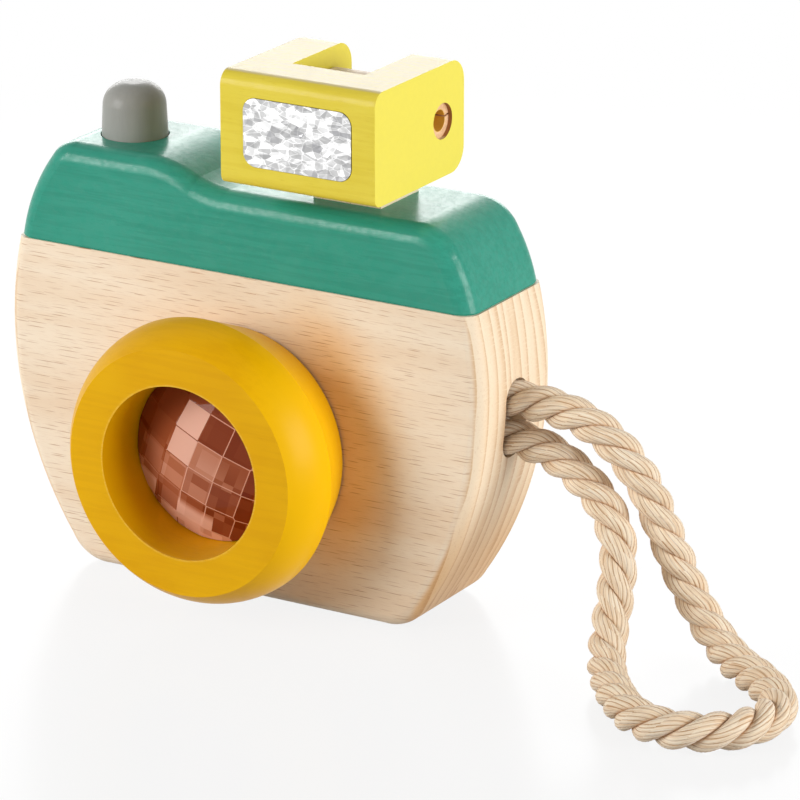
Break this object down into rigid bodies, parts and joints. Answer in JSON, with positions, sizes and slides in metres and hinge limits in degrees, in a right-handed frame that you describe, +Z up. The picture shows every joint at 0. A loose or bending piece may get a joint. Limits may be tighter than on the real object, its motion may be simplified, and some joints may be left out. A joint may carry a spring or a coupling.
{
  "type": "wooden toy camera",
  "caption": "Wooden toy camera with a beech body, painted cap, shutter button that presses, flash block that tilts, faceted prism lens that turns, and a rope wrist loop.",
  "frame": {"origin": "middle of the flat base of the beech block, on the surface it stands on", "axes": "+Z up; the lens looks along -Y; the rope leaves the side at +X"},
  "size_m": [0.1904, 0.0605, 0.1167],
  "materials": {
    "beech": "clear oil, satin",
    "green_paint": "gloss paint on wood",
    "grey_paint": "satin paint on wood",
    "yellow_paint": "gloss paint on wood",
    "ochre_paint": "gloss paint on wood",
    "spring_steel": "drawn wire",
    "pin_brass": "coppery, dull",
    "foil": "crinkled silver foil on card",
    "acrylic": "polished facets",
    "washer_felt": "thin felt",
    "rope": "twisted natural fibre"
  },
  "bodies": {
    "camera": {"body_block": "beech", "top_cap": "green_paint", "cap_dowels": "beech", "hinge_post": "beech", "post_dowel": "beech", "button_spring": "spring_steel", "ring_washer": "washer_felt", "rope_loop": "rope"},
    "shutter": {"shutter_button": "grey_paint"},
    "flash": {"flash_block": "yellow_paint", "flash_foil": "foil", "hinge_pin": "pin_brass"},
    "lens": {"lens_ring": "ochre_paint", "prism_lens": "acrylic", "lens_neck": "beech", "eyepiece_ring": "beech"}
  },
  "joints": [
    {"name": "shutter_press", "type": "slide", "parent": "camera", "child": "shutter", "axis": [0, 0, -1], "range_m": [0, 0.004], "stiffness_N_per_m": 200, "deforming": ["button_spring"]},
    {"name": "flash_tilt", "type": "hinge", "parent": "camera", "child": "flash", "pos_m": [0.02175, 0, 0.105], "axis": [-1, 0, 0], "range_deg": [-22, 202]},
    {"name": "lens_turn", "type": "hinge", "parent": "camera", "child": "lens", "pos_m": [0, -0.015, 0.0342], "axis": [0, -1, 0], "continuous": true}
  ]
}
